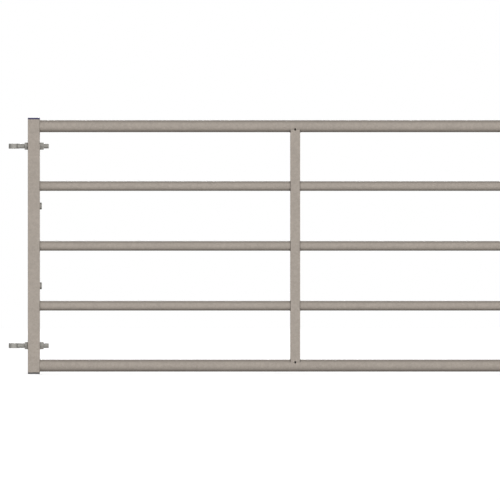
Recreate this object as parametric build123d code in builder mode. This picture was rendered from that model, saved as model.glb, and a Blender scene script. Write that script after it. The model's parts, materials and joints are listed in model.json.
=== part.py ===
from build123d import *
from math import cos, pi, radians, sqrt, tan
import os

# Five-rail cattle gate, in millimetres, +Z up, +X from the hinges to the closing end, front towards -Y.
# The origin is the middle of the lower hinge eye, on the line that the gate swings about.

# Round rails: the top and bottom ones are heavier than those between
rail_pitch = 300.0
mid_rail_names = ("lower", "middle", "upper")
outer_rail_diameter = 60.3
outer_rail_wall = 2.9
mid_rail_diameter = 48.3
mid_rail_wall = 2.6

# Square tubes: a stile at each end and one upright between the two bays
bay_width = 1255.0
stile_width = 60.0
stile_wall = 3.0
stile_overrun = 34.0  # past the centre lines of the top and bottom rails
upright_width = 50.0
upright_wall = 3.0
tube_corner = 3.0  # outside radius
tube_inner_corner = 1.0
weld_gap = 0.2  # between a saddle cut and the tube that it sits on
vent_height = 12.0
vent_width = 8.0

# Plastic end caps with a finned plug
cap_flange = 8.0
cap_edge_radius = 1.5
cap_plug_depth = 24.0
cap_plug_wall = 2.5
cap_plug_corner = 3.0
cap_plug_clearance = 0.2
cap_fin_count = 3
cap_fin_height = 1.8
cap_fin_thickness = 1.2

# Adjustable hinge eyes
hinge_inset = 100.0  # from the centre line of the nearest rail
eye_diameter = 44.0
eye_height = 25.0
eye_bore_diameter = 25.0
eye_edge_chamfer = 1.0
shank_gap = 36.0  # bare shank between the eye and the outer nut
bolt_diameter = 24.0
bolt_end_chamfer = 2.0
thread_overhang = 26.0  # past the inner nut
bolt_hole_clearance = 1.0
nut_across_flats = 36.0
outer_nut_height = 16.0
inner_nut_height = 19.0
thread_clearance = 0.05
nut_seat_gap = 0.05

# Thin nuts welded to the inner face of the hinge stile
weld_nut_inset = 100.0  # from the centre line of the nearest mid rail
weld_nut_across_flats = 30.0
weld_nut_height = 10.0
weld_nut_bore_diameter = 17.3
weld_nut_hole_diameter = 22.0

# All nuts are hexagons with their corners turned off, down to a share of the width across flats
nut_sides = 6
nut_chamfer_angle = 30.0
nut_face_share = 0.95

# Sliding latch bolt, a bent round bar
latch_bar_diameter = 22.0
latch_nose_diameter = 20.0
latch_nose_length = 67.0
latch_nose_chamfer = 6.0
latch_shoulder = 3.0  # full bar past the outer face of the closing stile
latch_travel = 80.0
latch_clearance = 0.3
latch_rail_gap = 17.0  # between the collar and the middle rail
latch_collar_diameter = 38.0
latch_collar_length = 10.0
latch_collar_chamfer = 1.5
latch_collar_clearance = 0.05
latch_guide_width = 40.0
latch_guide_thickness = 8.0
latch_bend_radius = 34.0
latch_bend_gap = 16.0  # straight bar between the guide and the bend
latch_grip_length = 95.0
latch_grip_round = 4.0

# Levels
bottom_rail_z = -hinge_inset
mid_rail_z = {name: bottom_rail_z + rail_pitch * (i + 1) for i, name in enumerate(mid_rail_names)}
top_rail_z = bottom_rail_z + rail_pitch * (len(mid_rail_names) + 1)
hinge_z = {"lower": bottom_rail_z + hinge_inset, "upper": top_rail_z - hinge_inset}
weld_nut_z = {"lower": mid_rail_z["lower"] + weld_nut_inset, "upper": mid_rail_z["upper"] - weld_nut_inset}
stile_bottom_z = bottom_rail_z - stile_overrun
stile_top_z = top_rail_z + stile_overrun
latch_z = mid_rail_z["middle"] + mid_rail_diameter / 2 + latch_rail_gap + latch_collar_diameter / 2

# Stations along the gate
hinge_stile_outer_x = eye_diameter / 2 + shank_gap + outer_nut_height
hinge_stile_inner_x = hinge_stile_outer_x + stile_width
upright_near_x = hinge_stile_inner_x + bay_width
upright_far_x = upright_near_x + upright_width
closing_stile_inner_x = upright_far_x + bay_width
closing_stile_outer_x = closing_stile_inner_x + stile_width
upright_x = (upright_near_x + upright_far_x) / 2
bolt_end_x = hinge_stile_inner_x + inner_nut_height + thread_overhang

# Latch stations, with the bolt shot
latch_shoulder_x = closing_stile_outer_x + latch_shoulder
latch_collar_x = closing_stile_inner_x - latch_clearance - latch_collar_length
latch_guide_x = latch_collar_x - latch_travel - latch_clearance - latch_guide_thickness
latch_grip_x = latch_guide_x - latch_bend_gap - latch_bend_radius

# Vents lie where the front face of the upright meets the surface of the top and bottom rails
outer_rail_radius = outer_rail_diameter / 2
saddle_drop = sqrt(max(outer_rail_radius**2 - (upright_width / 2) ** 2, 0))
bottom_vent_z = bottom_rail_z + saddle_drop
top_vent_z = top_rail_z - saddle_drop


def save(piece, name):
    """Label a finished piece and write its file."""
    piece.part.label = name
    export_step(piece.part, f"parts/{name}.step")


def front_plane(x, level):
    """Plane seen from the front, with its local origin at a station and a level."""
    return Plane(origin=(x, 0, level), x_dir=(1, 0, 0), z_dir=(0, -1, 0))


def square_tube_profile(width, wall):
    """Hollow square section with tight corners."""
    RectangleRounded(width, width, tube_corner)
    inner_width = width - 2 * wall
    RectangleRounded(inner_width, inner_width, tube_inner_corner, mode=Mode.SUBTRACT)


def drill_along_x(start_x, length, places):
    """Holes along X, given as (level, diameter)."""
    with BuildSketch(Plane.YZ.offset(start_x)) as holes:
        for level, diameter in places:
            with Locations((0, level)):
                Circle(diameter / 2)
    extrude(holes.sketch, amount=length, mode=Mode.SUBTRACT)


def cut_vents(*levels):
    """Upright vent slots from the front, as deep as the middle of the gate."""
    with BuildSketch(Plane.XZ) as slots:
        for level in levels:
            with Locations((upright_x, level)):
                SlotOverall(vent_height, vent_width, rotation=90)
    extrude(slots.sketch, amount=outer_rail_radius, mode=Mode.SUBTRACT)


def make_stile(name, start_x, through_holes, far_wall_holes=()):
    """End stile: a square tube, drilled through both walls or only through the one further along X."""
    with BuildPart() as stile:
        with BuildSketch(Plane.XY.offset(stile_bottom_z)):
            with Locations((start_x + stile_width / 2, 0)):
                square_tube_profile(stile_width, stile_wall)
        extrude(amount=stile_top_z - stile_bottom_z)
        drill_along_x(start_x, stile_width, through_holes)
        if far_wall_holes:
            drill_along_x(start_x + stile_width - stile_wall, stile_wall, far_wall_holes)
    save(stile, name)


def make_rail(name, level, diameter, wall, start_x, end_x, vent_level=None):
    """Round rail, cut square at both ends, with a vent if it is given a level for one."""
    with BuildPart() as rail:
        with BuildSketch(Plane.YZ.offset(start_x)):
            with Locations((0, level)):
                Circle(diameter / 2)
                Circle(diameter / 2 - wall, mode=Mode.SUBTRACT)
        extrude(amount=end_x - start_x)
        if vent_level is not None:
            cut_vents(vent_level)
    save(rail, name)


def make_upright():
    """Centre upright: saddle cut onto the top and bottom rails, with a vent at each joint."""
    with BuildPart() as upright:
        with BuildSketch(Plane.XY.offset(bottom_rail_z)):
            with Locations((upright_x, 0)):
                square_tube_profile(upright_width, upright_wall)
        extrude(amount=top_rail_z - bottom_rail_z)
        saddle = outer_rail_diameter + 2 * weld_gap
        drill_along_x(upright_near_x, upright_width, [(bottom_rail_z, saddle), (top_rail_z, saddle)])
        cut_vents(bottom_vent_z, top_vent_z)
    save(upright, "centre_upright")


def make_cap(name, stile_x, level, facing):
    """End cap of a stile; facing is +1 on the top end and -1 on the bottom end."""
    plug_width = stile_width - 2 * stile_wall - 2 * cap_plug_clearance
    core_width = plug_width - 2 * cap_fin_height
    hollow_width = core_width - 2 * cap_plug_wall
    seat = Plane(origin=(stile_x, 0, level), x_dir=(1, 0, 0), z_dir=(0, 0, facing))
    fin_pitch = cap_plug_depth / cap_fin_count
    with BuildPart() as cap:
        with BuildSketch(seat):
            RectangleRounded(stile_width, stile_width, tube_corner)
        extrude(amount=cap_flange)
        fillet(cap.faces().sort_by(Axis.Z)[-1 if facing > 0 else 0].edges(), cap_edge_radius)
        with BuildSketch(seat):
            RectangleRounded(core_width, core_width, cap_plug_corner)
            RectangleRounded(hollow_width, hollow_width, cap_plug_corner, mode=Mode.SUBTRACT)
        extrude(amount=-cap_plug_depth)
        for i in range(cap_fin_count):
            with BuildSketch(seat.offset(-fin_pitch * (i + 0.5))):
                RectangleRounded(plug_width, plug_width, cap_plug_corner)
                RectangleRounded(hollow_width, hollow_width, cap_plug_corner, mode=Mode.SUBTRACT)
            extrude(amount=-cap_fin_thickness)
    save(cap, name)


def make_nut(name, x, level, height, across_flats, bore_diameter, turn=0):
    """Hexagon nut on an axis along X; with no turn its corners point to the front and back."""
    corner = across_flats / 2 / cos(pi / nut_sides)
    face = across_flats / 2 * nut_face_share
    slope = (corner - face) * tan(radians(nut_chamfer_angle))
    with BuildPart() as nut:
        with BuildSketch(Plane.YZ.offset(x)):
            with Locations((0, level)):
                RegularPolygon(corner, nut_sides, rotation=turn)
                Circle(bore_diameter / 2, mode=Mode.SUBTRACT)
        extrude(amount=height)
        with BuildSketch(front_plane(x, level)):
            with BuildLine():
                Polyline(
                    (0, 0),
                    (0, face),
                    (slope, corner),
                    (height - slope, corner),
                    (height, face),
                    (height, 0),
                    close=True,
                )
            make_face()
        revolve(axis=Axis((x, 0, level), (1, 0, 0)), mode=Mode.INTERSECT)
    save(nut, name)


def make_eye_bolt(name, level):
    """Upright eye with chamfered rims on the end of a straight threaded shank."""
    eye_radius = eye_diameter / 2
    bore_radius = eye_bore_diameter / 2
    half_height = eye_height / 2
    edge = eye_edge_chamfer
    with BuildPart() as bolt:
        with BuildSketch(front_plane(0, level)):
            with BuildLine():
                Polyline(
                    (bore_radius, half_height - edge),
                    (bore_radius + edge, half_height),
                    (eye_radius - edge, half_height),
                    (eye_radius, half_height - edge),
                    (eye_radius, edge - half_height),
                    (eye_radius - edge, -half_height),
                    (bore_radius + edge, -half_height),
                    (bore_radius, edge - half_height),
                    close=True,
                )
            make_face()
        revolve(axis=Axis.Z)
        with BuildSketch(Plane.YZ):
            with Locations((0, level)):
                Circle(bolt_diameter / 2)
        extrude(amount=bolt_end_x)
        chamfer(bolt.faces().sort_by(Axis.X)[-1].edges(), bolt_end_chamfer)
        with BuildSketch(Plane.XY.offset(level - half_height)):
            Circle(bore_radius)
        extrude(amount=eye_height, mode=Mode.SUBTRACT)
    save(bolt, name)


def make_latch_bolt():
    """Latch bolt: a turned nose, a straight bar and a bent-up grip."""
    with BuildPart() as bolt:
        with BuildLine() as route:
            FilletPolyline(
                (latch_shoulder_x, 0, latch_z),
                (latch_grip_x, 0, latch_z),
                (latch_grip_x, 0, latch_z + latch_bend_radius + latch_grip_length),
                radius=latch_bend_radius,
            )
        with BuildSketch(Plane(origin=route.line @ 0, z_dir=route.line % 0)):
            Circle(latch_bar_diameter / 2)
        sweep()
        fillet(bolt.faces().sort_by(Axis.Z)[-1].edges(), latch_grip_round)
        with BuildSketch(Plane.YZ.offset(latch_shoulder_x)):
            with Locations((0, latch_z)):
                Circle(latch_nose_diameter / 2)
        extrude(amount=latch_nose_length)
        chamfer(bolt.faces().sort_by(Axis.X)[-1].edges(), latch_nose_chamfer)
    save(bolt, "latch_bolt")


def make_latch_collar():
    """Stop collar on the latch bolt, between the guide and the closing stile."""
    with BuildPart() as collar:
        with BuildSketch(Plane.YZ.offset(latch_collar_x)):
            with Locations((0, latch_z)):
                Circle(latch_collar_diameter / 2)
                Circle(latch_bar_diameter / 2 + latch_collar_clearance, mode=Mode.SUBTRACT)
        extrude(amount=latch_collar_length)
        rims = collar.edges().filter_by(GeomType.CIRCLE).group_by(SortBy.RADIUS)[-1]
        chamfer(rims, latch_collar_chamfer)
    save(collar, "latch_collar")


def make_latch_guide():
    """Round-topped plate that stands on the middle rail and carries the latch bolt."""
    rail_level = mid_rail_z["middle"]
    with BuildPart() as guide:
        with BuildSketch(Plane.YZ.offset(latch_guide_x)):
            with Locations((0, latch_z)):
                Circle(latch_guide_width / 2)
            with Locations((0, (rail_level + latch_z) / 2)):
                Rectangle(latch_guide_width, latch_z - rail_level)
            with Locations((0, latch_z)):
                Circle(latch_bar_diameter / 2 + latch_clearance, mode=Mode.SUBTRACT)
            with Locations((0, rail_level)):
                Circle(mid_rail_diameter / 2 + weld_gap, mode=Mode.SUBTRACT)
        extrude(amount=latch_guide_thickness)
    save(guide, "latch_guide")


os.makedirs("parts", exist_ok=True)

# Stiles: the hinge stile is drilled for its eye bolts and weld nuts, the closing stile for the latch
bolt_hole_diameter = bolt_diameter + 2 * bolt_hole_clearance
bolt_holes = [(level, bolt_hole_diameter) for level in hinge_z.values()]
weld_nut_holes = [(level, weld_nut_hole_diameter) for level in weld_nut_z.values()]
make_stile("hinge_stile", hinge_stile_outer_x, bolt_holes, weld_nut_holes)
make_stile("closing_stile", closing_stile_inner_x, [(latch_z, latch_bar_diameter + 2 * latch_clearance)])

# Rails and upright
full_span = (hinge_stile_inner_x, closing_stile_inner_x)
make_rail("top_rail", top_rail_z, outer_rail_diameter, outer_rail_wall, *full_span, top_vent_z)
make_rail("bottom_rail", bottom_rail_z, outer_rail_diameter, outer_rail_wall, *full_span, bottom_vent_z)
for rail_name, rail_level in mid_rail_z.items():
    tube = (rail_level, mid_rail_diameter, mid_rail_wall)
    make_rail(f"{rail_name}_rail_hinge_bay", *tube, hinge_stile_inner_x, upright_near_x)
    make_rail(f"{rail_name}_rail_closing_bay", *tube, upright_far_x, closing_stile_inner_x)
make_upright()

# End caps
stile_x = {"hinge": hinge_stile_outer_x + stile_width / 2, "closing": closing_stile_inner_x + stile_width / 2}
for side, middle_x in stile_x.items():
    make_cap(f"{side}_stile_top_cap", middle_x, stile_top_z, 1)
    make_cap(f"{side}_stile_bottom_cap", middle_x, stile_bottom_z, -1)

# Hinges: each eye bolt is held by a nut on either side of the stile
nut_bore_diameter = bolt_diameter + 2 * thread_clearance
outer_nut_x = hinge_stile_outer_x - nut_seat_gap - outer_nut_height
inner_nut_x = hinge_stile_inner_x + nut_seat_gap
for place, hinge_level in hinge_z.items():
    make_eye_bolt(f"{place}_eye_bolt", hinge_level)
    hexagon = (nut_across_flats, nut_bore_diameter)
    make_nut(f"{place}_outer_nut", outer_nut_x, hinge_level, outer_nut_height, *hexagon)
    make_nut(f"{place}_inner_nut", inner_nut_x, hinge_level, inner_nut_height, *hexagon)

# Weld nuts, turned by half a side so that their corners point up and down
half_side = 180 / nut_sides
for place, nut_level in weld_nut_z.items():
    hexagon = (weld_nut_across_flats, weld_nut_bore_diameter)
    make_nut(f"{place}_weld_nut", hinge_stile_inner_x, nut_level, weld_nut_height, *hexagon, turn=half_side)

# Latch
make_latch_bolt()
make_latch_collar()
make_latch_guide()
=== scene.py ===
import json
import random
from math import asin, cos, pi, radians, sin, sqrt, tan, tau
from typing import NamedTuple

import bmesh
import bpy
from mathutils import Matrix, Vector


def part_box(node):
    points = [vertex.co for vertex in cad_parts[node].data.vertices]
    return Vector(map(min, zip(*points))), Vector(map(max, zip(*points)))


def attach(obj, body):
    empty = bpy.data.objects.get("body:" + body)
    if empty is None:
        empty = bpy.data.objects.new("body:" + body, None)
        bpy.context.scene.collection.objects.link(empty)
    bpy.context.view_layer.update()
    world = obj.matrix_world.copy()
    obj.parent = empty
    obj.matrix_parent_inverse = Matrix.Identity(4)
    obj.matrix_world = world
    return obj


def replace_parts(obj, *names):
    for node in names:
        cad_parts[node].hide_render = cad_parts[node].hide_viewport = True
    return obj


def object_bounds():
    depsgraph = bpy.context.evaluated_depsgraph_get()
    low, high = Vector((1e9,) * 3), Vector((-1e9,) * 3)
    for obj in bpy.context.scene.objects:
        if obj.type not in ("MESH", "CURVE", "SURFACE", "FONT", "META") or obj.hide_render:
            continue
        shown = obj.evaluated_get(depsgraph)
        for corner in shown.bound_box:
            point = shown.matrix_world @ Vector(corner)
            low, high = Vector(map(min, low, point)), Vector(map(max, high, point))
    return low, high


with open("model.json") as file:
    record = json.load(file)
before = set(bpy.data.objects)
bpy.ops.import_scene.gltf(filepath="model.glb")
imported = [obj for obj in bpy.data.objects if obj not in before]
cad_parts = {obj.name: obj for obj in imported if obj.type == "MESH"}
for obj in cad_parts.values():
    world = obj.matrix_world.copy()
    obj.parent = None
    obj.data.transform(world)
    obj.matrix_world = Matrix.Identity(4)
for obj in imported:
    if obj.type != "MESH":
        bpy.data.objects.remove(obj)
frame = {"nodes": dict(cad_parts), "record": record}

# Looks of a five-rail cattle gate, in metres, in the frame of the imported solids

cad_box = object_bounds()
scene = bpy.context.scene
nodes = frame["nodes"]
mounts = {mount["name"]: mount for mount in frame["record"]["mounts"]}
X, Y, Z = range(3)
SEED = 7
WHITE = (1.0, 1.0, 1.0, 1.0)

# Camera: square on to the front, from so far away that the view has almost no perspective
PHOTO_SIZE = 500  # pixels, both ways
RAIL_PITCH_PIXELS = 59.845  # from rail to rail in the photo
STILE_EDGE_PIXEL = 27.87  # left edge of the hinge stile in the photo
MIDDLE_RAIL_PIXEL = 245.9  # centre line of the middle rail in the photo
LENS = 1000.0
SENSOR = 36.0
CLIP_NEAR = 0.1  # in distances from the camera to the gate
CLIP_FAR = 3.0

# Light: soft lamps low at the front and back, weaker ones at the ends, and small ones above.
# Each has its azimuth from the front, elevation, strength and angular size
LAMPS = {
    "front_key": (12.0, 15.0, 2.8, 22.0),
    "back_key": (192.0, 15.0, 2.8, 22.0),
    "hinge_end": (-100.0, 8.0, 1.2, 24.0),
    "closing_end": (100.0, 8.0, 1.2, 24.0),
    "front_high": (0.0, 54.0, 0.16, 10.0),
    "back_high": (180.0, 54.0, 0.16, 10.0),
}
WORLD_FILL = 0.04

# Floor
FLOOR_DROP = 0.0005  # below the lowest point of the gate
FLOOR_REACH = 40.0
FLOOR_TONE = 0.8  # as it is seen
FLOOR_BOUNCE = 0.38  # as it lights the gate from below
FLOOR_GLOW = 0.52
FLOOR_PATCHES = 3.0  # to the metre
FLOOR_PATCH_TONES = (0.98, 1.02)
FLOOR_ROUGHNESS = 0.9

# Weld beads: their legs
WELD_LEG = 0.0028
NUT_WELD_LEG = 0.0016
GUIDE_WELD_LEG = 0.003
EYE_WELD_LEG = 0.0025  # on the eye
EYE_WELD_RUN = 0.007  # along the shank

# Weld beads: how hollow they are, from 0 for a flat face to 1 for one drawn to the corner
RAIL_WELD_HOLLOW = 0.35
SADDLE_WELD_HOLLOW = 0.2
NUT_WELD_HOLLOW = 0.2
EYE_WELD_HOLLOW = 0.3

# Weld beads: their sections, ripples and ends
FILLET_DEPTH = sqrt(0.5)  # from the corner to the middle of a flat face, in legs
WELD_STEPS = 6  # points across the face of a bead
WELD_ROOT = 0.0005  # how far the back of a bead is sunk into the tubes
NUT_ROOT_SHARE = 0.9  # of half a nut's width across flats, where the back of its bead is
WELD_RIPPLE = 0.003  # from ripple to ripple along a bead
RIPPLE_POINTS = 6  # along each ripple
RIPPLE_RISE = 0.12  # of the bead's thickness
RIPPLE_LAG = 0.5  # ripples that the middle of a bead lags behind its toes
SWELL_WAVES = ((95, 1, 0.07), (41, 2, 0.06))  # rate along a bead, share of its seed and height
SWELL_RIPPLE = 0.03  # trace of the ripples at the toes
WELD_TAPER = 0.004  # over which an open end of a bead thins out
WELD_END_SHARE = 0.1  # of a bead's size, at an open end
VENT_MARGIN = 0.0055  # from the middle of a vent to the end of a bead

# Weld beads: where the rounded corner of a tube leaves a groove beside a rail
TUBE_CORNER = 0.003
GROOVE_CAP = 0.5  # rise of a bead over a groove, in legs
GROOVE_NARROWING = 1.35  # how fast a bead's leg on the tube goes beside a groove
GROOVE_LEAST = 0.12  # share of that leg that stays
LEAST_SIDE = 0.1  # at the top and bottom of a rail, where there is room in plenty

# Threads of the eye bolts and the weld nuts
THREAD_CREST = 0.16  # flat shares of a turn at its crest and its root
THREAD_ROOT = 0.12
THREAD_STEPS = 10  # points along each turn

# Hinge eye bolts
BOLT_RADIUS = 0.012
BOLT_PITCH = 0.003
BOLT_THREAD_DEPTH = 0.0012
BOLT_THREAD_START = 0.03
BOLT_THREAD_RUNOUT = 0.004
BOLT_END_CHAMFER = 0.002
BOLT_FACETS = 48
EYE_EDGE = 0.001  # by which the rims are eased
EYE_EDGE_MIDDLE = 0.3  # of that, at the middle of an eased rim
EYE_FACETS = 96

# Weld nuts
NUT_PITCH = 0.0025
NUT_THREAD_DEPTH = 0.0011
NUT_FACE_SHARE = 0.95  # of the width across flats, where the corners are turned off
NUT_CHAMFER = radians(30)
NUT_LEAD = 0.0012  # chamfer at the mouths of the bore
NUT_FACETS = 72

# Edges that turn by more degrees than this stay sharp
SMOOTH_ANGLE = 40.0
NUT_SMOOTH_ANGLE = 25.0


class Coat(NamedTuple):
    """What sets one zinc coat apart from another."""

    colour: tuple
    tone: float  # of the colour
    contrast: float  # by which the tone varies
    roughness: float
    crevice_shade: float  # tone of the painted shade in crevices
    reach: float  # how far that painted shade reaches out of them
    spangle: float  # large zinc crystals to the metre


# Colours and coats
TUBE = (0.377, 0.334, 0.293)
HARDWARE = (0.378, 0.366, 0.338)
CAP_BLUE = (0.042, 0.04, 0.1)
CAP_GREY = (0.085, 0.085, 0.085)
TUBE_COAT = Coat(TUBE, 1.0, 0.22, 0.6, 0.4, 0.015, 110.0)
WELD_COAT = Coat(TUBE, 0.76, 0.14, 0.65, 0.4, 0.012, 260.0)
SADDLE_COAT = Coat(TUBE, 0.92, 0.12, 0.65, 0.4, 0.012, 260.0)
HARDWARE_COAT = Coat(HARDWARE, 1.0, 0.1, 0.55, 0.75, 0.004, 200.0)
EYE_COAT = Coat(HARDWARE, 0.95, 0.1, 0.55, 0.6, 0.004, 200.0)
# The eye weld is a real bead; its low tone also paints the shade of the eye's limb and the root of the shank
EYE_WELD_COAT = Coat(HARDWARE, 0.56, 0.14, 0.6, 0.5, 0.006, 260.0)
NUT_COAT = Coat(HARDWARE, 0.83, 0.1, 0.55, 0.35, 0.012, 200.0)

# Zinc. Here and below, noise is given as lumps to the metre, detail and roughness
ZINC_CLOUDS = (9.0, 4.0, 0.6)
ZINC_GRAIN = (700.0, 2.0)
CLOUD_SHARE = 0.35  # shares of the clouds, crystals and grain in the tone
CRYSTAL_SHARE = 0.45
GRAIN_SHARE = 0.2
FINE_SPANGLE = 2.3  # small crystals to each large one
FINE_CRYSTAL_SHARE = 0.4  # shares of the small and large crystals
LARGE_CRYSTAL_SHARE = 0.6
CRYSTAL_DRIFT = 0.7  # lumps to a crystal in the noise that makes it ragged
CRYSTAL_RAGGED = 0.8  # how far that noise shifts it, in crystals
ZINC_ROUGHNESS_SPREAD = 0.05
CREVICE_SAMPLES = 8
CRYSTAL_RELIEF = 0.4  # beside the relief of the grain
ZINC_BUMP = {"Strength": 0.06, "Distance": 0.0006}
ZINC_SPECULAR = 0.06

# Painted shade, darker where a surface turns away from the lamps along an axis: the direction that it goes
# by, between which cosines it sets in, and its tone
# Painted shade on surfaces that face up or down, such as the tops and bottoms of the rails
TUBE_PAINTED_SHADE = ("Z", 0.45, 0.85, 0.78)
# Painted shade on the side of each eye that faces the hinge end, away from the key lamp
EYE_PAINTED_SHADE = ("X", -0.2, -0.7, 0.62)
# Painted shade on the sides of the saddle welds, where they face along the rails
SADDLE_PAINTED_SHADE = ("X", 0.1, 0.4, 0.55)
PAINTED_SHADE_CLOUDS = (0.9, 1.1)  # how much of it there is between the clouds and in them

# Painted shade on the corners of the upright tubes, beside the rails that are welded to them, where the rails
# keep light off.
# Each tube has the shade's tone, and the side that its rails are on: 1 or -1 along X, or 0 for both
JOINT_SHADE_FADE = 0.005
JOINT_SHADE_CORNER = (0.02, 0.3)  # where a corner sets in, by the product of X and Y in its normal
JOINT_SHADES = {
    "hinge_stile": (0.72, 1.0),
    "closing_stile": (0.72, -1.0),
    "centre_upright": (0.35, 0.0),
}

# Wear of the zinc, along sharp edges, down the corners of tubes and along the latch bar
WORN_TONE = 1.22
WORN_SMOOTHNESS = 0.15
EDGE_WEAR_WIDTH = 0.0012
EDGE_WEAR_SAMPLES = 6
EDGE_WEAR_TURN = (0.8, 0.98)  # cosines between which an edge fades into a flat
EDGE_WEAR_NOISE = (260.0, 3.0)
EDGE_WEAR_BREAKS = (0.35, 0.65)  # noise between which the wear comes up
EDGE_WEAR_LEAST = 0.2
CORNER_WEAR_TURN = (0.25, 0.45)  # where a corner sets in, by the product of X and Y in its normal
CORNER_WEAR_NOISE = (45.0, 4.0)
CORNER_WEAR_BREAKS = (0.4, 0.7)
RUB_FADE = 0.02
RUB_STREAKS = (9.0, 600.0, 600.0)  # to the metre, along and across the latch bar
RUB_NOISE = (1.0, 3.0)  # on the scale of the streaks
RUB_BREAKS = (0.42, 0.68)

# Plastic
SCUFF_NOISE = (160.0, 5.0, 0.7)
SCUFF_TONES = (0.8, 1.2)
SCUFF_ROUGHNESS = (0.4, 0.62)
RUBBED_TONE = 1.7
PLASTIC_GRAIN = (1400.0, 2.0)
PLASTIC_BUMP = {"Strength": 0.15, "Distance": 0.0004}
PLASTIC_SPECULAR = 0.12


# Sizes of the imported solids

def extent(node, axis):
    """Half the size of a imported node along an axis, and its middle there."""
    low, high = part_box(node)
    return (high[axis] - low[axis]) / 2, (high[axis] + low[axis]) / 2


def bore_radius(mount):
    """Radius of a mount's bore."""
    return mounts[mount]["dims"]["r_mm"] / 1000


# Shader helpers

def add(tree, kind, inputs=None, **settings):
    """Add a shader node, set its properties and fill its sockets with values or links."""
    made = tree.nodes.new(kind)
    for key, value in settings.items():
        setattr(made, key, value)
    for socket, value in (inputs or {}).items():
        if isinstance(value, bpy.types.NodeSocket):
            tree.links.new(value, made.inputs[socket])
        else:
            made.inputs[socket].default_value = value
    return made


def calc(tree, operation, first, second=0.0):
    """One sum of two numbers or sockets."""
    return add(tree, "ShaderNodeMath", {0: first, 1: second}, operation=operation).outputs[0]


def mix(tree, factor, first, second):
    """Blend of two colours, which go into sockets 6 and 7 of this node."""
    blend = add(tree, "ShaderNodeMix", {0: factor, 6: first, 7: second}, data_type="RGBA")
    return blend.outputs[2]


def spread(tree, value, low, high, start=0.0, stop=1.0, kind="LINEAR"):
    """A value from start to stop spread over another range."""
    inputs = {"Value": value, "From Min": start, "From Max": stop, "To Min": low, "To Max": high}
    return add(tree, "ShaderNodeMapRange", inputs, interpolation_type=kind).outputs["Result"]


def noise(tree, place, scale, detail=2.0, roughness=0.5, output="Fac"):
    """Cloudy noise, as many lumps to the metre as the scale says."""
    inputs = {"Vector": place, "Scale": scale, "Detail": detail, "Roughness": roughness}
    return add(tree, "ShaderNodeTexNoise", inputs).outputs[output]


def break_up(tree, amount, place, texture, breaks, least=0.0):
    """An amount broken up into patches by noise, down to the least of it between them."""
    patches = spread(tree, noise(tree, place, *texture), least, 1.0, *breaks)
    return calc(tree, "MULTIPLY", amount, patches)


def split(tree, vector):
    """The X, Y and Z of a vector."""
    return add(tree, "ShaderNodeSeparateXYZ", {0: vector}).outputs


def facing(tree):
    """The X, Y and Z of the direction that the surface faces, in the frame of its own object."""
    return split(tree, add(tree, "ShaderNodeTexCoord").outputs["Normal"])


def shade(colour, amount):
    """A colour made lighter or darker, with full alpha."""
    return tuple(min(channel * amount, 1.0) for channel in colour) + (1.0,)


def new_material(name):
    """Empty material with a principled shader, and the coordinates of its own object."""
    material = bpy.data.materials.new(name)
    material.use_nodes = True
    tree = material.node_tree
    tree.nodes.clear()
    shader = add(tree, "ShaderNodeBsdfPrincipled")
    output = add(tree, "ShaderNodeOutputMaterial", {"Surface": shader.outputs["BSDF"]})
    place = add(tree, "ShaderNodeTexCoord").outputs["Object"]
    return material, tree, shader, output, place


# Materials

def edge_wear(tree, place):
    """Wear along the sharp edges of a fitting: 0 on its flats, uneven along the edges."""
    bevel = add(tree, "ShaderNodeBevel", {"Radius": EDGE_WEAR_WIDTH}, samples=EDGE_WEAR_SAMPLES)
    normal = add(tree, "ShaderNodeNewGeometry").outputs["Normal"]
    pair = {0: bevel.outputs["Normal"], 1: normal}
    turn = add(tree, "ShaderNodeVectorMath", pair, operation="DOT_PRODUCT").outputs["Value"]
    edge = spread(tree, turn, 1.0, 0.0, *EDGE_WEAR_TURN)
    return break_up(tree, edge, place, EDGE_WEAR_NOISE, EDGE_WEAR_BREAKS, EDGE_WEAR_LEAST)


def corner_turn(tree, side=0.0):
    """Product of X and Y in the normal of an upright tube: 0 on its flats, 0.5 down its corners.

    With a side of 1 or -1 along X, it is above 0 only at the corners on that side.
    """
    normal = facing(tree)
    across = calc(tree, "MULTIPLY", normal["X"], side) if side else calc(tree, "ABSOLUTE", normal["X"])
    return calc(tree, "MULTIPLY", across, calc(tree, "ABSOLUTE", normal["Y"]))


def corner_wear(tree, place):
    """Wear down the rounded corners of an upright tube: 0 on its flats, uneven along the corners."""
    corner = spread(tree, corner_turn(tree), 0.0, 1.0, *CORNER_WEAR_TURN)
    return break_up(tree, corner, place, CORNER_WEAR_NOISE, CORNER_WEAR_BREAKS)


def slide_wear(tree, place):
    """Rub marks along a bar, from the guide that it slides through to its tip, and wear along its edges."""
    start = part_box("latch_guide")[0].x
    rubbed = spread(tree, split(tree, place)["X"], 0.0, 1.0, start, start + RUB_FADE, "SMOOTHSTEP")
    drawn = add(tree, "ShaderNodeMapping", {"Vector": place, "Scale": RUB_STREAKS}).outputs["Vector"]
    streaks = break_up(tree, rubbed, drawn, RUB_NOISE, RUB_BREAKS)
    return calc(tree, "MAXIMUM", streaks, edge_wear(tree, place))


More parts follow.
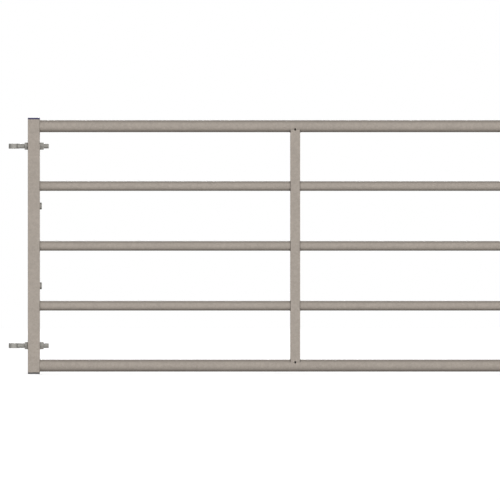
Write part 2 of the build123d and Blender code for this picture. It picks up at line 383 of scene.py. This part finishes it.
def joint_shade_mask(tree, place, side):
    """Painted shade on the corners of an upright tube beside its rails, on one side of it or on both."""
    mid_radius, middle = extent("middle_rail_hinge_bay", Z)
    outer_radius, top = extent("top_rail", Z)
    pitch = extent("upper_rail_hinge_bay", Z)[1] - middle
    corner = spread(tree, corner_turn(tree, side), 0.0, 1.0, *JOINT_SHADE_CORNER, "SMOOTHSTEP")
    height = calc(tree, "SUBTRACT", split(tree, place)["Z"], middle)
    from_mid = calc(tree, "PINGPONG", height, pitch / 2)
    from_mid = calc(tree, "SUBTRACT", from_mid, mid_radius)
    from_outer = calc(tree, "SUBTRACT", calc(tree, "ABSOLUTE", height), top - middle)
    from_outer = calc(tree, "SUBTRACT", calc(tree, "ABSOLUTE", from_outer), outer_radius)
    nearest = calc(tree, "MINIMUM", from_mid, from_outer)
    beside = spread(tree, nearest, 1.0, 0.0, -JOINT_SHADE_FADE, JOINT_SHADE_FADE, "SMOOTHSTEP")
    return calc(tree, "MULTIPLY", corner, beside)


def painted_shade_film(tree, clouds, axis, shade_start, shade_full):
    """Painted shade on the sides that face along an axis: either way, or one way where its cosines are below
    0.
    """
    tilt = facing(tree)[axis]
    tilt = calc(tree, "ABSOLUTE", tilt) if shade_full > 0 else tilt
    shade_mask = spread(tree, tilt, 0.0, 1.0, shade_start, shade_full, "SMOOTHSTEP")
    return calc(tree, "MULTIPLY", shade_mask, spread(tree, clouds, *PAINTED_SHADE_CLOUDS))


def crystals(tree, place, scale):
    """Ragged zinc crystals of one tone each, as many to the metre as the scale says."""
    drift = noise(tree, place, scale * CRYSTAL_DRIFT, output="Color")
    bend = {0: drift, 1: (CRYSTAL_RAGGED / scale,) * 3, 2: place}
    bent = add(tree, "ShaderNodeVectorMath", bend, operation="MULTIPLY_ADD").outputs["Vector"]
    cells = add(tree, "ShaderNodeTexVoronoi", {"Vector": bent, "Scale": scale}).outputs["Color"]
    return add(tree, "ShaderNodeSeparateColor", {0: cells}).outputs[0]


def zinc(name, coat, painted_shade=TUBE_PAINTED_SHADE, wear=None, joint_shade=None):
    """Zinc on steel: crystals, clouds and grain, then painted shade by the way it faces, wear, painted shade
    beside rail joints and painted shade in crevices.
    """
    material, tree, shader, _, place = new_material(name)
    colour = shade(coat.colour, coat.tone)[:3]
    clouds = noise(tree, place, *ZINC_CLOUDS)
    grain = noise(tree, place, *ZINC_GRAIN)
    fine = spread(tree, crystals(tree, place, coat.spangle * FINE_SPANGLE), 0.0, FINE_CRYSTAL_SHARE)
    large = spread(tree, crystals(tree, place, coat.spangle), 0.0, LARGE_CRYSTAL_SHARE)
    crystal = calc(tree, "ADD", fine, large)
    tone = calc(tree, "MULTIPLY", clouds, CLOUD_SHARE)
    tone = calc(tree, "ADD", tone, calc(tree, "MULTIPLY", crystal, CRYSTAL_SHARE))
    tone = calc(tree, "ADD", tone, calc(tree, "MULTIPLY", grain, GRAIN_SHARE))
    look = mix(tree, tone, shade(colour, 1 - coat.contrast), shade(colour, 1 + coat.contrast))
    smoothest = coat.roughness - ZINC_ROUGHNESS_SPREAD
    rough = spread(tree, crystal, smoothest, coat.roughness + ZINC_ROUGHNESS_SPREAD)
    # Painted shade: darker where the surface faces along the axis, standing in for light falling off there
    axis, shade_start, shade_full, painted_shade_tone = painted_shade
    look = mix(tree, painted_shade_film(tree, clouds, axis, shade_start, shade_full), look, shade(colour, painted_shade_tone))
    if wear:
        worn = wear(tree, place)
        look = mix(tree, worn, look, shade(colour, WORN_TONE))
        rough = calc(tree, "SUBTRACT", rough, calc(tree, "MULTIPLY", worn, WORN_SMOOTHNESS))
    # Painted shade on the corners beside the rail joints
    if joint_shade:
        joint_shade_tone, side = joint_shade
        look = mix(tree, joint_shade_mask(tree, place, side), look, shade(colour, joint_shade_tone))
    # Painted shade: ambient occlusion darkens the colour in crevices and where parts meet
    ambient = add(tree, "ShaderNodeAmbientOcclusion", {"Distance": coat.reach}, samples=CREVICE_SAMPLES)
    look = mix(tree, ambient.outputs["AO"], shade(colour, coat.crevice_shade), look)
    height = calc(tree, "ADD", calc(tree, "MULTIPLY", crystal, CRYSTAL_RELIEF), grain)
    bump = add(tree, "ShaderNodeBump", {**ZINC_BUMP, "Height": height})
    tree.links.new(look, shader.inputs["Base Color"])
    tree.links.new(rough, shader.inputs["Roughness"])
    tree.links.new(bump.outputs["Normal"], shader.inputs["Normal"])
    shader.inputs["Metallic"].default_value = 0.0
    shader.inputs["Specular IOR Level"].default_value = ZINC_SPECULAR
    return material


def plastic(name, colour):
    """Moulded cap plastic: fine moulded grain, a little scuffing, and edges rubbed paler."""
    material, tree, shader, _, place = new_material(name)
    scuffs = noise(tree, place, *SCUFF_NOISE)
    dull, fresh = SCUFF_TONES
    look = mix(tree, scuffs, shade(colour, dull), shade(colour, fresh))
    look = mix(tree, edge_wear(tree, place), look, shade(colour, RUBBED_TONE))
    bump = add(tree, "ShaderNodeBump", {**PLASTIC_BUMP, "Height": noise(tree, place, *PLASTIC_GRAIN)})
    tree.links.new(look, shader.inputs["Base Color"])
    tree.links.new(spread(tree, scuffs, *SCUFF_ROUGHNESS), shader.inputs["Roughness"])
    tree.links.new(bump.outputs["Normal"], shader.inputs["Normal"])
    shader.inputs["Specular IOR Level"].default_value = PLASTIC_SPECULAR
    return material


# Mesh helpers

def finish_piece(mesh, name, body, material, smooth_angle=SMOOTH_ANGLE):
    """Turn a bmesh into a piece that rides a body and wears a material."""
    bmesh.ops.recalc_face_normals(mesh, faces=mesh.faces)
    data = bpy.data.meshes.new(name)
    mesh.to_mesh(data)
    mesh.free()
    data.shade_smooth()
    data.set_sharp_from_angle(angle=radians(smooth_angle))
    data.materials.append(material)
    piece = bpy.data.objects.new(name, data)
    scene.collection.objects.link(piece)
    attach(piece, body)
    return piece


def skin(mesh, rings, closed):
    """Skin rings of points into a surface; an open one gets a face at either end."""
    made = [[mesh.verts.new(point) for point in ring] for ring in rings]
    pairs = list(zip(made, made[1:]))
    if closed:
        pairs.append((made[-1], made[0]))
    for near, far in pairs:
        for i in range(len(near)):
            mesh.faces.new((near[i - 1], near[i], far[i], far[i - 1]))
    if not closed:
        mesh.faces.new(made[0])
        mesh.faces.new(made[-1])


def lathe(mesh, profile, count, axis_point):
    """Ring of revolution about an upright axis, from the (distance, height) points of a closed profile."""
    rings = []
    for i in range(count):
        angle = tau * i / count
        ring = [
            axis_point + Vector((cos(angle) * distance, sin(angle) * distance, height))
            for distance, height in profile
        ]
        rings.append(ring)
    skin(mesh, rings, closed=True)


# Welds

def bead_section(root, toe_a, corner, toe_b, hollow, along, lift=Vector(), ease=1.0):
    """Cross-section of a weld bead: its hidden root, then a face with crescent ripples from toe to toe."""
    middle = (toe_a + toe_b) / 2
    guide = middle + (corner - middle) * hollow + lift
    points = [root]
    for i in range(WELD_STEPS + 1):
        t = i / WELD_STEPS
        crown = 4 * t * (1 - t)
        wave = sin((along / WELD_RIPPLE + RIPPLE_LAG * crown) * tau)
        face = toe_a * (1 - t) ** 2 + guide * 2 * t * (1 - t) + toe_b * t**2
        points.append(face + (middle - corner) * ease * crown * RIPPLE_RISE * wave)
    return points


def swell(along, seed):
    """Size of a bead along its length: slow and uneven, with a trace of its ripples at the toes."""
    slow = sum(sin(along * rate + share * seed) * height for rate, share, height in SWELL_WAVES)
    return 1 + slow + SWELL_RIPPLE * sin(along / WELD_RIPPLE * tau)


def round_tube(reach, half, corner):
    """Recess and place across, some way round a square tube from the middle of one side."""
    flat = half - corner
    if reach <= flat or not corner:
        return 0.0, min(reach, half)
    turn = (reach - flat) / corner
    if turn < pi / 2:
        return corner * (1 - cos(turn)), flat + corner * sin(turn)
    return corner + reach - flat - corner * pi / 2, half


def weld_round_rail(name, rail, face_x, away, half, corner, material, leg=WELD_LEG, span=pi):
    """Weld round the end of a rail, or over an arc of it, against a flat or round-cornered face.

    On a rounded corner the bead turns from a fillet into a fill of the groove there, which stands no
    prouder than the outermost side of the gate.
    """
    radius, level = extent(rail, Z)
    steps = round(2 * span * radius / WELD_RIPPLE * RIPPLE_POINTS)
    closed = span == pi
    flat = half - corner
    seed = random.uniform(0, tau)
    rings = []
    for i in range(steps if closed else steps + 1):
        angle = -span + 2 * span * i / steps
        along = angle * radius
        size = leg * swell(along, seed)
        side = abs(sin(angle))
        hand = 1 if angle > 0 else -1
        past = max(min(side * radius, half) - flat, 0.0)
        turn = asin(past / corner) if past else 0.0
        groove = side * sin(turn)
        room = cad_box[1].y / max(side, LEAST_SIDE) - radius
        proud = min(max(room / (size * GROOVE_CAP), 0.0), 1.0)

        def at(reach, across, distance):
            return Vector((face_x + away * reach, hand * across, level + cos(angle) * distance))

        out = at(cos(turn), sin(turn) + side, 1.0) - at(0, 0, 0)
        out.normalize()
        toe = size * max(1 - GROOVE_NARROWING * groove, GROOVE_LEAST)
        joint = flat + corner * turn if past else side * radius
        recess, across = round_tube(joint + side * toe, half, corner)
        toe_tube = at(-recess, across, radius + toe)
        toe_rail = at(size * proud, side * radius, radius)
        root = at(-WELD_ROOT, min(side * (radius - WELD_ROOT), flat), radius - WELD_ROOT)
        lift = out * size * GROOVE_CAP * groove * proud
        corner_point = (toe_tube + toe_rail) / 2 - out * size * FILLET_DEPTH
        hollow = RAIL_WELD_HOLLOW * (1 - groove)
        rings.append(bead_section(root, toe_rail, corner_point, toe_tube, hollow, along, lift, proud))
    mesh = bmesh.new()
    skin(mesh, rings, closed)
    finish_piece(mesh, name, "gate_frame", material)


def upright_outline(half, corner, gap, step):
    """Points and outward normals round a rounded square, from one side of a gap in its front to the other."""
    flat = half - corner
    turns = round(corner * pi / 2 / step)
    points = []
    for quarter, (start, stop) in enumerate([(gap, flat)] + [(-flat, flat)] * 3 + [(-flat, -gap)]):
        angle = quarter * pi / 2
        out = Vector((sin(angle), -cos(angle)))
        along = Vector((cos(angle), sin(angle)))
        count = round((stop - start) / step)
        points += [(out * half + along * (start + (stop - start) * i / count), out) for i in range(count)]
        if stop == flat:
            for i in range(turns):
                bend = angle + pi / 2 * i / turns
                normal = Vector((sin(bend), -cos(bend)))
                points.append(((out + along) * flat + normal * corner, normal))
    return points


def weld_saddle(name, rail, up, material):
    """Weld round the saddle joint between the upright and an outer rail, open at the vent in its front."""
    radius, level = extent(rail, Z)
    half, middle_x = extent("centre_upright", X)
    seed = random.uniform(0, tau)
    step = WELD_RIPPLE / RIPPLE_POINTS
    rings = []

    def on_rail(place):
        drop = sqrt(max(radius**2 - place.y**2, 0))
        return Vector((middle_x + place.x, place.y, level - up * drop))

    outline = upright_outline(half, TUBE_CORNER, VENT_MARGIN, step)
    for i, (place, out) in enumerate(outline):
        along = i * step
        from_end = min(along, (len(outline) - 1) * step - along, WELD_TAPER) / WELD_TAPER
        taper = WELD_END_SHARE + (1 - WELD_END_SHARE) * sqrt(from_end * (2 - from_end))
        size = WELD_LEG * swell(along, seed) * taper
        corner = on_rail(place)
        toe_tube = corner - Vector((0, 0, up * size))
        toe_rail = on_rail(place + out * size)
        root = on_rail(place - out * WELD_ROOT) + Vector((0, 0, up * WELD_ROOT))
        rings.append(bead_section(root, toe_tube, corner, toe_rail, SADDLE_WELD_HOLLOW, along))
    mesh = bmesh.new()
    skin(mesh, rings, closed=False)
    finish_piece(mesh, name, "gate_frame", material)


def hexagon(angle, apothem):
    """Distance from the middle of a hexagon with its corners up and down to its outline."""
    sixth = pi / 3
    return apothem / cos(angle % sixth - sixth / 2)


def weld_nut_seat(name, nut, material):
    """Weld round the foot of a nut that stands on the hinge stile, with its corners up and down."""
    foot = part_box(nut)[0].x
    apothem, _ = extent(nut, Y)
    _, level = extent(nut, Z)
    seed = random.uniform(0, tau)
    steps = round(tau * apothem / WELD_RIPPLE * RIPPLE_POINTS)
    rings = []
    for i in range(steps):
        angle = tau * i / steps
        side = hexagon(angle, apothem)
        along = angle * apothem
        size = NUT_WELD_LEG * swell(along, seed)

        def at(distance, reach):
            return Vector((foot + reach, sin(angle) * distance, level + cos(angle) * distance))

        root = at(apothem * NUT_ROOT_SHARE, -WELD_ROOT)
        toe_nut = at(side, size)
        toe_stile = at(side + size, 0)
        rings.append(bead_section(root, toe_nut, at(side, 0), toe_stile, NUT_WELD_HOLLOW, along))
    mesh = bmesh.new()
    skin(mesh, rings, closed=True)
    finish_piece(mesh, name, "gate_frame", material)


def weld_eye(name, node, outer, material):
    """Weld round the root of a shank, against the round side of its eye."""
    half, level = extent(node, Z)
    seed = random.uniform(0, tau)
    steps = round(tau * BOLT_RADIUS / WELD_RIPPLE * RIPPLE_POINTS)
    rings = []

    def on_eye(angle, distance):
        y = sin(angle) * distance
        z = max(-half, min(half, cos(angle) * distance))
        return Vector((sqrt(outer**2 - y**2), y, level + z))

    for i in range(steps):
        angle = tau * i / steps
        along = angle * BOLT_RADIUS
        size = EYE_WELD_LEG * swell(along, seed)
        corner = on_eye(angle, BOLT_RADIUS)
        root = on_eye(angle, BOLT_RADIUS - WELD_ROOT) - Vector((WELD_ROOT, 0, 0))
        toe_shank = corner + Vector((EYE_WELD_RUN - EYE_WELD_LEG + size, 0, 0))
        toe_eye = on_eye(angle, BOLT_RADIUS + size)
        rings.append(bead_section(root, toe_shank, corner, toe_eye, EYE_WELD_HOLLOW, along))
    mesh = bmesh.new()
    skin(mesh, rings, closed=True)
    finish_piece(mesh, name, node, material)


# Threaded pieces

def thread_cut(x, angle, pitch):
    """Depth of a thread about X at a place on it, from 0 at its crest to 1 at its root."""
    flank = abs((x / pitch - angle / tau) % 1 * 2 - 1)
    return min(max((flank - THREAD_CREST) / (1 - THREAD_CREST - THREAD_ROOT), 0.0), 1.0)


def threaded_shank(mesh, start_x, end_x, level):
    """Shank along X: plain at first, then a rolled thread that runs out smoothly, and a chamfered end."""
    length = end_x - BOLT_THREAD_START
    count = round(length / BOLT_PITCH * THREAD_STEPS)
    stations = [start_x, BOLT_THREAD_START - BOLT_THREAD_RUNOUT]
    stations += [BOLT_THREAD_START + length * i / count for i in range(count + 1)]
    rings = []
    for x in stations:
        ring = []
        depth = BOLT_THREAD_DEPTH * min(max((x - BOLT_THREAD_START) / BOLT_THREAD_RUNOUT, 0.0), 1.0)
        limit = BOLT_RADIUS - max(x - (end_x - BOLT_END_CHAMFER), 0.0)
        for j in range(BOLT_FACETS):
            angle = tau * j / BOLT_FACETS
            crest = min(BOLT_RADIUS - depth * thread_cut(x, angle, BOLT_PITCH), limit)
            ring.append(Vector((x, sin(angle) * crest, level + cos(angle) * crest)))
        rings.append(ring)
    skin(mesh, rings, closed=False)


def make_weld_nut(node, material):
    """Hexagon nut with its corners up and down and a threaded bore, in place of a packed weld nut."""
    low, high = (corner.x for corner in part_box(node))
    apothem, _ = extent(node, Y)
    _, level = extent(node, Z)
    bore = bore_radius(node)
    face = apothem * NUT_FACE_SHARE
    count = round((high - low) / NUT_PITCH * THREAD_STEPS)
    stations = [high + (low - high) * i / count for i in range(count + 1)]
    rings = []
    for j in range(NUT_FACETS):
        angle = tau * j / NUT_FACETS
        side = hexagon(angle, apothem)
        slope = (side - face) * tan(NUT_CHAMFER)
        profile = [(low, face), (low + slope, side), (high - slope, side), (high, face)]
        for x in stations:
            lead = NUT_LEAD - min(high - x, x - low)
            groove = NUT_THREAD_DEPTH * thread_cut(x, angle, NUT_PITCH)
            profile.append((x, bore + max(groove, lead)))
        rings.append([Vector((x, sin(angle) * r, level + cos(angle) * r)) for x, r in profile])
    mesh = bmesh.new()
    skin(mesh, rings, closed=True)
    name = f"{node}_threaded"
    piece = finish_piece(mesh, name, "gate_frame", material, NUT_SMOOTH_ANGLE)
    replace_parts(piece, node)


def make_eye_bolt(node, mount, eye_material, shank_material, weld_material):
    """Eye with eased rims, its threaded shank and the weld between them, in place of a packed eye bolt."""
    half, level = extent(node, Z)
    outer, _ = extent(node, Y)
    end_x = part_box(node)[1].x
    bore = bore_radius(mount)
    ease = EYE_EDGE * EYE_EDGE_MIDDLE
    upper_half = [
        (bore, half - EYE_EDGE),
        (bore + ease, half - ease),
        (bore + EYE_EDGE, half),
        (outer - EYE_EDGE, half),
        (outer - ease, half - ease),
        (outer, half - EYE_EDGE),
    ]
    profile = upper_half + [(distance, -height) for distance, height in reversed(upper_half)]
    eye = bmesh.new()
    lathe(eye, profile, EYE_FACETS, Vector((0, 0, level)))
    shank = bmesh.new()
    threaded_shank(shank, (bore + outer) / 2, end_x, level)
    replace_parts(finish_piece(eye, f"{node}_eye", node, eye_material), node)
    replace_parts(finish_piece(shank, f"{node}_shank", node, shank_material), node)
    weld_eye(f"{node}_weld", node, outer, weld_material)


# Stage

def seen_rays(tree):
    """1 for rays that show the background: from the camera, off gloss or through glass."""
    path = add(tree, "ShaderNodeLightPath").outputs
    seen = calc(tree, "MAXIMUM", path["Is Camera Ray"], path["Is Glossy Ray"])
    return calc(tree, "MAXIMUM", seen, path["Is Transmission Ray"])


def make_world():
    """White where it is seen, and a low fill where it only lights."""
    world = bpy.data.worlds.new("studio")
    scene.world = world
    world.use_nodes = True
    tree = world.node_tree
    tree.nodes.clear()
    strength = spread(tree, seen_rays(tree), WORLD_FILL, 1.0)
    background = add(tree, "ShaderNodeBackground", {"Color": WHITE, "Strength": strength})
    add(tree, "ShaderNodeOutputWorld", {"Surface": background.outputs[0]})


def make_floor():
    """Pale floor that fades into the white background and keeps the gate's shadow."""
    level = cad_box[0].z - FLOOR_DROP
    middle_x = (cad_box[0].x + cad_box[1].x) / 2
    corners = [
        (middle_x + x * FLOOR_REACH, y * FLOOR_REACH, level)
        for x, y in ((-1, -1), (1, -1), (1, 1), (-1, 1))
    ]
    mesh = bmesh.new()
    mesh.faces.new([mesh.verts.new(corner) for corner in corners])
    data = bpy.data.meshes.new("floor")
    mesh.to_mesh(data)
    mesh.free()
    floor = bpy.data.objects.new("floor", data)
    scene.collection.objects.link(floor)
    material, tree, shader, output, place = new_material("floor_pale")
    seen = seen_rays(tree)
    patches = spread(tree, noise(tree, place, FLOOR_PATCHES), *FLOOR_PATCH_TONES)
    tone = calc(tree, "MULTIPLY", spread(tree, seen, FLOOR_BOUNCE, FLOOR_TONE), patches)
    tree.links.new(tone, shader.inputs["Base Color"])
    shader.inputs["Roughness"].default_value = FLOOR_ROUGHNESS
    shader.inputs["Specular IOR Level"].default_value = 0.0
    glow = calc(tree, "MULTIPLY", seen, FLOOR_GLOW)
    light = add(tree, "ShaderNodeEmission", {"Color": WHITE, "Strength": glow})
    both = add(tree, "ShaderNodeAddShader", {0: shader.outputs[0], 1: light.outputs[0]})
    tree.links.new(both.outputs[0], output.inputs["Surface"])
    data.materials.append(material)


def make_lamps():
    """Soft lamps, alike at the front and back, so that both faces of the gate are lit the same."""
    for name, (azimuth, elevation, strength, size) in LAMPS.items():
        turn = radians(azimuth)
        rise = radians(elevation)
        light = bpy.data.lights.new(name, "SUN")
        light.energy = strength
        light.angle = radians(size)
        lamp = bpy.data.objects.new(name, light)
        towards = Vector((sin(turn) * cos(rise), -cos(turn) * cos(rise), sin(rise)))
        lamp.rotation_mode = "QUATERNION"
        lamp.rotation_quaternion = towards.to_track_quat("Z", "Y")
        scene.collection.objects.link(lamp)


def make_camera():
    """Camera at the photo's viewing angle and framing."""
    stile_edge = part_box("hinge_stile")[0].x
    _, middle_rail = extent("middle_rail_hinge_bay", Z)
    _, upper_rail = extent("upper_rail_hinge_bay", Z)
    pixel = (upper_rail - middle_rail) / RAIL_PITCH_PIXELS
    middle_x = stile_edge + (PHOTO_SIZE / 2 - STILE_EDGE_PIXEL) * pixel
    middle_z = middle_rail + (MIDDLE_RAIL_PIXEL - PHOTO_SIZE / 2) * pixel
    distance = PHOTO_SIZE * pixel * LENS / SENSOR
    data = bpy.data.cameras.new("camera")
    data.lens = LENS
    data.sensor_width = SENSOR
    data.clip_start = distance * CLIP_NEAR
    data.clip_end = distance * CLIP_FAR
    camera = bpy.data.objects.new("camera", data)
    camera.location = (middle_x, -distance, middle_z)
    camera.rotation_euler = (pi / 2, 0, 0)
    scene.collection.objects.link(camera)
    scene.camera = camera


# The gate: its materials

random.seed(SEED)
tube_zinc = zinc("galvanised_tube_coat", TUBE_COAT, wear=corner_wear)
weld_zinc = zinc("galvanised_weld_coat", WELD_COAT)
saddle_zinc = zinc("galvanised_saddle_coat", SADDLE_COAT, SADDLE_PAINTED_SHADE)
shank_zinc = zinc("zinc_shank_coat", HARDWARE_COAT)
hardware_zinc = zinc("zinc_hardware_coat", HARDWARE_COAT, wear=edge_wear)
latch_zinc = zinc("zinc_latch_coat", HARDWARE_COAT, wear=slide_wear)
eye_zinc = zinc("zinc_eye_coat", EYE_COAT, EYE_PAINTED_SHADE, edge_wear)
eye_weld_zinc = zinc("zinc_eye_weld_coat", EYE_WELD_COAT)
nut_zinc = zinc("zinc_nut_coat", NUT_COAT, wear=edge_wear)

finishes = {
    "galvanised_tube": tube_zinc,
    "zinc_hardware": hardware_zinc,
    "top_cap_plastic": plastic("cap_blue", CAP_BLUE),
    "bottom_cap_plastic": plastic("cap_grey", CAP_GREY),
}
for subpart in frame["record"]["subparts"]:
    finish = nut_zinc if subpart["node"].endswith("_nut") else finishes[subpart["material_slot"]]
    nodes[subpart["node"]].data.materials[0] = finish
nodes["latch_bolt"].data.materials[0] = latch_zinc
# Painted shade beside the rail joints, on the upright tubes
for node, joint_shade in JOINT_SHADES.items():
    joint_shaded_zinc = zinc(f"galvanised_{node}_coat", TUBE_COAT, wear=corner_wear, joint_shade=joint_shade)
    nodes[node].data.materials[0] = joint_shaded_zinc

# The gate: welds at the ends of the rails
stile_half, _ = extent("hinge_stile", Y)
upright_half, _ = extent("centre_upright", Y)
for rail in sorted(name for name in nodes if "_rail" in name):
    low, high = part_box(rail)
    if not rail.endswith("closing_bay"):
        weld_round_rail(f"{rail}_hinge_weld", rail, low.x, 1, stile_half, TUBE_CORNER, weld_zinc)
    if not rail.endswith("hinge_bay"):
        weld_round_rail(f"{rail}_closing_weld", rail, high.x, -1, stile_half, TUBE_CORNER, weld_zinc)
    if rail.endswith("hinge_bay"):
        weld_round_rail(f"{rail}_upright_weld", rail, high.x, -1, upright_half, TUBE_CORNER, weld_zinc)
    if rail.endswith("closing_bay"):
        weld_round_rail(f"{rail}_upright_weld", rail, low.x, 1, upright_half, TUBE_CORNER, weld_zinc)

# The gate: welds of the upright, and the weld nuts on the stile
for rail, up in (("top_rail", 1), ("bottom_rail", -1)):
    weld_saddle(f"upright_{rail}_weld", rail, up, saddle_zinc)
for place in ("lower", "upper"):
    make_weld_nut(f"{place}_weld_nut", nut_zinc)
    weld_nut_seat(f"{place}_weld_nut_seat", f"{place}_weld_nut", weld_zinc)

# The gate: welds of the latch guide, over the part of the rail that is inside its outline
guide_low, guide_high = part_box("latch_guide")
guide_half, _ = extent("latch_guide", Y)
guide_rail = "middle_rail_closing_bay"
guide_span = asin((guide_half - GUIDE_WELD_LEG / 2) / extent(guide_rail, Z)[0])
guide_weld = {"leg": GUIDE_WELD_LEG, "span": guide_span}
for face_x, away, label in ((guide_low.x, -1, "near"), (guide_high.x, 1, "far")):
    name = f"latch_guide_{label}_weld"
    weld_round_rail(name, guide_rail, face_x, away, guide_half, 0.0, weld_zinc, **guide_weld)

# The gate: hinge eye bolts
for place in ("lower", "upper"):
    make_eye_bolt(f"{place}_eye_bolt", f"{place}_hinge_eye", eye_zinc, shank_zinc, eye_weld_zinc)

make_world()
make_floor()
make_lamps()
make_camera()
scene.view_settings.view_transform = "Standard"
